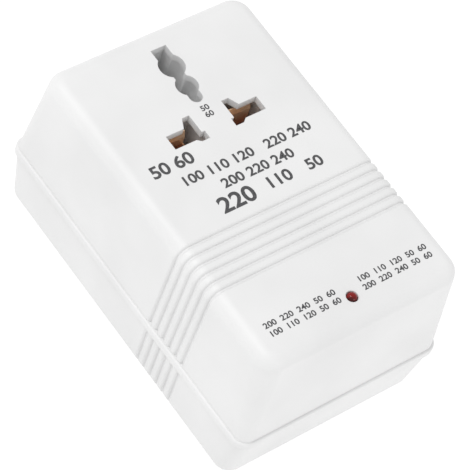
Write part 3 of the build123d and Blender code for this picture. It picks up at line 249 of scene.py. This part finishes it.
# Painted light and shade: darker low in the opening, brighter towards the lips, by height alone
painted_light_by_height = add_node(tree, "ShaderNodeMapRange", Value=height.outputs["Z"],
                From_Min=clip_foot + PAINTED_SHADE_REACH, From_Max=clip_lip + PAINTED_LIGHT_PAST_LIP,
                To_Min=0.0, To_Max=PAINTED_LIGHT_SHARE)
stain_and_painted_light = add_node(tree, "ShaderNodeMath", {"operation": "MULTIPLY_ADD"},
                i0=stain.outputs["Fac"], i1=STAIN_SHARE, i2=painted_light_by_height.outputs["Result"])
shade = add_node(tree, "ShaderNodeValToRGB", Fac=stain_and_painted_light.outputs["Value"])
shade.color_ramp.elements.new(0.5)
for stop, position, colour in zip(shade.color_ramp.elements, (0.15, 0.5, 0.76),
                                  ("#6E3A20", "#E58F5C", "#FFD9B4")):
    stop.position = position
    stop.color = linear(colour)
tree.links.new(shade.outputs["Color"], shader.inputs["Base Color"])
rolled = add_node(tree, "ShaderNodeBump", Height=streaks.outputs["Fac"], Distance=STREAK_DEPTH)
tree.links.new(rolled.outputs["Normal"], shader.inputs["Normal"])
for name in ("line_contact", "neutral_contact"):
    smooth_copy(name, "case", copper)


# Indicator lamp: a 3 mm lamp cast in red tinted resin, pushed through the face from
# behind. The resin is glossy and dark, with soft redder patches painted on as painted light.
# Painted light: the tone drifts from dark to redder in soft patches across the dome
red_resin = mottled("red_resin_cast", "#4A0404", "#86100D", size=2.2 * MM, roughness=0.14,
                    bump=0, spread=(0.42, 0.6), detail=0.0,
                    IOR=1.52, Transmission_Weight=0.1, Specular_IOR_Level=0.3)
smooth_copy("lamp", "case", red_resin, angle=40.0)


# Markings: plain numbers pad-printed in dark grey ink, a few hundredths of a millimetre
# proud of the skin, in the places where such a case carries print. The ink lies uneven,
# so its grey drifts within each figure.
ink = mottled("pad_print_ink", "#38383A", "#59595B", size=0.5 * MM, roughness=0.55,
              bump=0, spread=(0.3, 0.75), detail=2.0)
INK_LIFT = 0.03 * MM
INK_SPREAD_SHARE = 0.036
LETTER_WIDTH_SHARE = 1.15
CAP_HEIGHT_SHARE = 0.69
FACE_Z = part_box("front_shell")[1].z


def printed(name, text, height, middle, place):
    """Plain numbers as a thin mesh, laid by place(across, up, lift) on a surface."""
    curve = bpy.data.curves.new(name, "FONT")
    curve.body = text
    curve.size = height / CAP_HEIGHT_SHARE
    curve.align_x = "CENTER"
    curve.align_y = "CENTER"
    curve.offset = INK_SPREAD_SHARE * height
    curve.resolution_u = 6
    letters = bpy.data.objects.new(name, curve)
    scene.collection.objects.link(letters)
    bpy.context.view_layer.update()
    mesh = bpy.data.meshes.new_from_object(letters)
    bpy.data.objects.remove(letters)
    for point in mesh.vertices:
        across = middle[0] + LETTER_WIDTH_SHARE * point.co.x
        point.co = place(across, middle[1] + point.co.y, INK_LIFT)
    mesh.materials.clear()
    mesh.materials.append(ink)
    piece = bpy.data.objects.new(name, mesh)
    scene.collection.objects.link(piece)
    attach(piece, "case")


def on_face(across, up, lift):
    """A point on the socket face."""
    return Vector((across, up, FACE_Z + lift))


# Name, numbers, height of a digit, and the middle of the row on the face, in millimetres
for name, text, height, across, up in (
    ("mark_main", "220", 4.6, -9.5, -5.3),
    ("mark_main_second", "110", 3.4, 4.5, -5.0),
    ("mark_main_third", "50", 3.2, 16.5, -5.0),
    ("mark_upper_row", "100 110 120   220 240", 2.8, 1.5, 5.6),
    ("mark_lower_row", "200 220 240", 2.8, 1.5, 0.4),
    ("mark_order", "50 60", 3.6, -19.0, 11.4),
    ("mark_outlet_upper", "50", 1.6, 0.0, 22.9),
    ("mark_outlet_lower", "60", 1.6, 0.0, 20.7),
    ("mark_left_upper", "200  220  240  50  60", 1.6, -15.0, -40.3),
    ("mark_left_lower", "100  110  120  50  60", 1.6, -15.0, -43.0),
    ("mark_right_upper", "100  110  120  50  60", 1.6, 15.9, -40.3),
    ("mark_right_lower", "200  220  240  50  60", 1.6, 15.9, -43.0),
):
    printed(name, text, height * MM, (across * MM, up * MM), on_face)


# Voltage figures beside the selector, printed in the same ink on the drafted wall.
# The wall leans in by a degree, so each point is laid on the line of its draft.
WALL_FOOT = Vector((33.65, 20.0)) * MM
WALL_HEAD = Vector((33.05, 54.0)) * MM
FIGURE_HEIGHT = 2.6 * MM
FIGURE_ASIDE = 4.5 * MM
FIGURE_ABOVE = 6.2 * MM
low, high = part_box("selector_housing")
SELECTOR = (low + high) / 2


def on_wall(across, up, lift):
    """A point on the long wall with the selector; across runs along Y, up along Z."""
    share = (up - WALL_FOOT[1]) / (WALL_HEAD[1] - WALL_FOOT[1])
    return Vector((WALL_FOOT[0] + share * (WALL_HEAD[0] - WALL_FOOT[0]) + lift, across, up))


for name, text, side in (("mark_selector_low", "110", -1), ("mark_selector_high", "220", 1)):
    middle = (SELECTOR.y + side * FIGURE_ASIDE, SELECTOR.z + FIGURE_ABOVE)
    printed(name, text, FIGURE_HEIGHT, middle, on_wall)


# Plug parts and selector body: black glass-filled nylon, moulded. Short fibres near
# the skin leave it slightly mottled, with a low sheen.
black_nylon = mottled("black_nylon_moulded", "#17171A", "#26262A", size=0.7 * MM, roughness=0.45)
for name, body in (("plug_barrel", "plug"), ("plug_cover", "case"), ("selector_housing", "case"),
                   ("lamp_diode", "case")):
    smooth_copy(name, body, black_nylon)
red_acetal = mottled("red_acetal_moulded", "#8E1512", "#A81C17", size=1.2 * MM, roughness=0.3)
smooth_copy("selector_knob", "selector", red_acetal)


# Blades, pivots, lugs and terminals: brass stamped and tumbled, then handled, so it
# is bright with faint duller patches.
brass = mottled("stamped_brass", "#CDA85C", "#D9B76E", size=3.0 * MM, roughness=0.26,
                bump=0.004, Metallic=1.0)
for name, body in (("line_blade", "plug"), ("neutral_blade", "plug"), ("plug_pivots", "plug"),
                   ("selector_lugs", "case"), ("bobbin_terminals", "case")):
    smooth_copy(name, body, brass)


# Clips of the plug and the bridge of the selector: the same copper strip, bright all
# over, because the parts that slide on it keep it rubbed.
bright_copper = mottled("bright_copper_strip", "#D99565", "#EBB184", size=2.4 * MM,
                        roughness=0.30, bump=0.005, Metallic=1.0)
smooth_copy("plug_clips", "case", bright_copper)
smooth_copy("selector_bridge", "selector", bright_copper)


# Screws, clamps, spring leaf and cut-off can: steel with a bright zinc coat, which
# looks faintly mottled, a little under a millimetre across.
zinc = mottled("zinc_plated_steel", "#A9ABAE", "#C9CBCE", size=0.8 * MM, roughness=0.3,
               bump=0.003, Metallic=1.0)
for name in ("case_screws", "carrier_screws", "core_screws", "core_clamps", "plug_cover_screws",
             "selector_screws", "detent_spring", "thermal_cutoff"):
    smooth_copy(name, "case", zinc)


# Core: fifty E and fifty I sheets of silicon steel, each half a millimetre thick,
# stamped alike and blued by annealing. They lie in a stack, and the hairline gaps
# between them draw its sides as fine lines.
sheet_steel = mottled("annealed_sheet_steel", "#4A4D53", "#666A70", size=5 * MM, roughness=0.42,
                      Metallic=1.0)


def stacking_tree():
    """Nodes that repeat a piece along a step and give it one material."""
    tree = bpy.data.node_groups.new("stack_along_step", "GeometryNodeTree")
    for name, kind, way in (
        ("Piece", "NodeSocketGeometry", "INPUT"),
        ("Count", "NodeSocketInt", "INPUT"),
        ("Step", "NodeSocketVector", "INPUT"),
        ("Material", "NodeSocketMaterial", "INPUT"),
        ("Stack", "NodeSocketGeometry", "OUTPUT"),
    ):
        tree.interface.new_socket(name, in_out=way, socket_type=kind)
    given = add_node(tree, "NodeGroupInput")
    line = add_node(tree, "GeometryNodeMeshLine", {"mode": "OFFSET"},
                    Count=given.outputs["Count"], Offset=given.outputs["Step"])
    placed = add_node(tree, "GeometryNodeInstanceOnPoints", Points=line.outputs["Mesh"],
                      Instance=given.outputs["Piece"])
    real = add_node(tree, "GeometryNodeRealizeInstances", Geometry=placed.outputs["Instances"])
    dressed = add_node(tree, "GeometryNodeSetMaterial", Geometry=real.outputs["Geometry"],
                       Material=given.outputs["Material"])
    add_node(tree, "NodeGroupOutput", Stack=dressed.outputs["Geometry"])
    return tree


stack_nodes = stacking_tree()


def stacked(name, single, count, step, material):
    """A single mesh repeated count times along step, as one plain object."""
    seed_piece = bpy.data.objects.new(name + "_seed", single)
    scene.collection.objects.link(seed_piece)
    nodes_on = seed_piece.modifiers.new("stack", "NODES")
    nodes_on.node_group = stack_nodes
    wanted = {"Count": count, "Step": step, "Material": material}
    for item in stack_nodes.interface.items_tree:
        if item.in_out == "INPUT" and item.name in wanted:
            nodes_on[item.identifier] = wanted[item.name]
    bpy.context.view_layer.update()
    evaluated = seed_piece.evaluated_get(bpy.context.evaluated_depsgraph_get())
    result = bpy.data.meshes.new_from_object(evaluated)
    bpy.data.objects.remove(seed_piece)
    piece = bpy.data.objects.new(name, result)
    scene.collection.objects.link(piece)
    return piece


def stamped_sheet(outline, bottom, thickness):
    """A flat sheet from its outline in X and Y, closed on all sides."""
    shape = bmesh.new()
    ring = [shape.verts.new((x, y, bottom)) for x, y in outline]
    face = shape.faces.new(ring)
    raised = bmesh.ops.extrude_face_region(shape, geom=[face])["geom"]
    corners = [part for part in raised if isinstance(part, bmesh.types.BMVert)]
    bmesh.ops.translate(shape, vec=(0, 0, thickness), verts=corners)
    bmesh.ops.recalc_face_normals(shape, faces=shape.faces)
    mesh = bpy.data.meshes.new("sheet")
    shape.to_mesh(mesh)
    shape.free()
    return mesh


SHEET_COUNT = 50
SHEET_GAP = 0.04 * MM
LIMBS_PER_WIDTH = 6
low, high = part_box("e_laminations")
pitch = (high.z - low.z) / SHEET_COUNT
limb = (high.x - low.x) / LIMBS_PER_WIDTH
window_end = high.y - limb
e_outline = [(low.x, low.y), (low.x + limb, low.y), (low.x + limb, window_end),
             (-limb, window_end), (-limb, low.y), (limb, low.y), (limb, window_end),
             (high.x - limb, window_end), (high.x - limb, low.y), (high.x, low.y),
             (high.x, high.y), (low.x, high.y)]
i_low, i_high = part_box("i_laminations")
i_outline = [(i_low.x, i_low.y), (i_high.x, i_low.y), (i_high.x, i_high.y), (i_low.x, i_high.y)]
for node_name, outline in (("e_laminations", e_outline), ("i_laminations", i_outline)):
    sheets = stacked(node_name + "_sheets", stamped_sheet(outline, low.z, pitch - SHEET_GAP),
                     SHEET_COUNT, (0, 0, pitch), sheet_steel)
    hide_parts(node_name)
    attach(sheets, "case")


# Coil: two layers of enamelled copper wire, wound turn by turn on a nylon bobbin and
# wrapped in yellow polyester tape. Each layer shows its turns side by side.
nylon = mottled("natural_nylon", "#CFCABB", "#DDD9CC", size=4 * MM, roughness=0.5)
smooth_copy("bobbin", "case", nylon)
tape = mottled("polyester_tape", "#C9B62E", "#D8C642", size=3 * MM, roughness=0.22)
smooth_copy("coil_tape", "case", tape)
enamel = mottled("enamelled_copper_wire", "#8A3C16", "#A95424", size=1.0 * MM, roughness=0.25,
                 Metallic=0.6)
WIRE_PITCH = 0.6 * MM
TURN_BEND = 2.0 * MM


def winding_turn(low, high, radius):
    """One closed turn of wire around the coil, inside the box of its layer."""
    curve = bpy.data.curves.new("turn", "CURVE")
    curve.dimensions = "3D"
    curve.bevel_depth = radius
    curve.bevel_resolution = 1
    curve.resolution_u = 3
    line = curve.splines.new("NURBS")
    left, right = low.x + radius, high.x - radius
    base, top = low.z + radius, high.z - radius
    corners = [(left, base + TURN_BEND), (left, top - TURN_BEND),
               (left + TURN_BEND, top), (right - TURN_BEND, top),
               (right, top - TURN_BEND), (right, base + TURN_BEND),
               (right - TURN_BEND, base), (left + TURN_BEND, base)]
    line.points.add(len(corners) - 1)
    for point, (x, z) in zip(line.points, corners):
        point.co = (x, low.y + radius, z, 1)
    line.order_u = 3
    line.use_cyclic_u = True
    turn_object = bpy.data.objects.new("turn", curve)
    scene.collection.objects.link(turn_object)
    bpy.context.view_layer.update()
    mesh = bpy.data.meshes.new_from_object(turn_object)
    bpy.data.objects.remove(turn_object)
    return mesh


for node_name in ("inner_winding", "outer_winding"):
    low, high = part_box(node_name)
    turns = int((high.y - low.y) / WIRE_PITCH)
    first_turn = winding_turn(low, high, WIRE_PITCH / 2)
    wound = stacked(node_name + "_turns", first_turn, turns, (0, WIRE_PITCH, 0), enamel)
    for face in wound.data.polygons:
        face.use_smooth = True
    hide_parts(node_name)
    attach(wound, "case")


# Wires: stranded copper in soft vinyl, coloured by circuit. Vinyl has a waxy sheen
# and a slightly uneven skin.
for slot_name, dark, light, names in (
    ("wire_brown", "#4A2A18", "#5C3722", ("input_line_wire", "output_line_wire")),
    ("wire_blue", "#173F86", "#2450A0", ("input_neutral_wire", "output_neutral_wire")),
    ("wire_red", "#8F1714", "#A8231E", ("low_tap_wire", "high_tap_wire", "lamp_wires")),
):
    vinyl = mottled(slot_name + "_vinyl", dark, light, size=2.5 * MM, roughness=0.35, bump=0.02)
    for name in names:
        smooth_copy(name, "case", vinyl, angle=50.0)


# Lamp board: brown phenolic paper board, sawn and left bare, with the tinned leads of
# the lamp and a glossy lacquered resistor that wears four colour bands.
board = mottled("phenolic_paper_board", "#8A6A36", "#9C7C46", size=1.5 * MM, roughness=0.55)
smooth_copy("lamp_board", "case", board)
tinned = mottled("tinned_copper_wire", "#B7B9BB", "#D2D4D6", size=0.6 * MM, roughness=0.28,
                 Metallic=1.0)
smooth_copy("lamp_leads", "case", tinned)
RESISTOR_HALF = 3.15 * MM
LACQUER = "#C9B184"
lacquer, tree, shader = new_material("resistor_lacquer", LACQUER, 0.3)
where = add_node(tree, "ShaderNodeTexCoord").outputs["Object"]
along = add_node(tree, "ShaderNodeSeparateXYZ", Vector=where)
reach = add_node(tree, "ShaderNodeMapRange", Value=along.outputs["X"],
                 From_Min=-RESISTOR_HALF, From_Max=RESISTOR_HALF)
bands = add_node(tree, "ShaderNodeValToRGB", Fac=reach.outputs["Result"])
bands.color_ramp.interpolation = "CONSTANT"
for start, colour, end in ((0.14, "#6B2A12", 0.24), (0.36, "#111111", 0.46),
                           (0.58, "#B8862A", 0.68), (0.84, "#C29A3C", 0.92)):
    bands.color_ramp.elements.new(start).color = linear(colour)
    bands.color_ramp.elements.new(end).color = linear(LACQUER)
bands.color_ramp.elements[0].color = linear(LACQUER)
bands.color_ramp.elements[-1].color = linear(LACQUER)
tree.links.new(bands.outputs["Color"], shader.inputs["Base Color"])
smooth_copy("lamp_resistor", "case", lacquer)
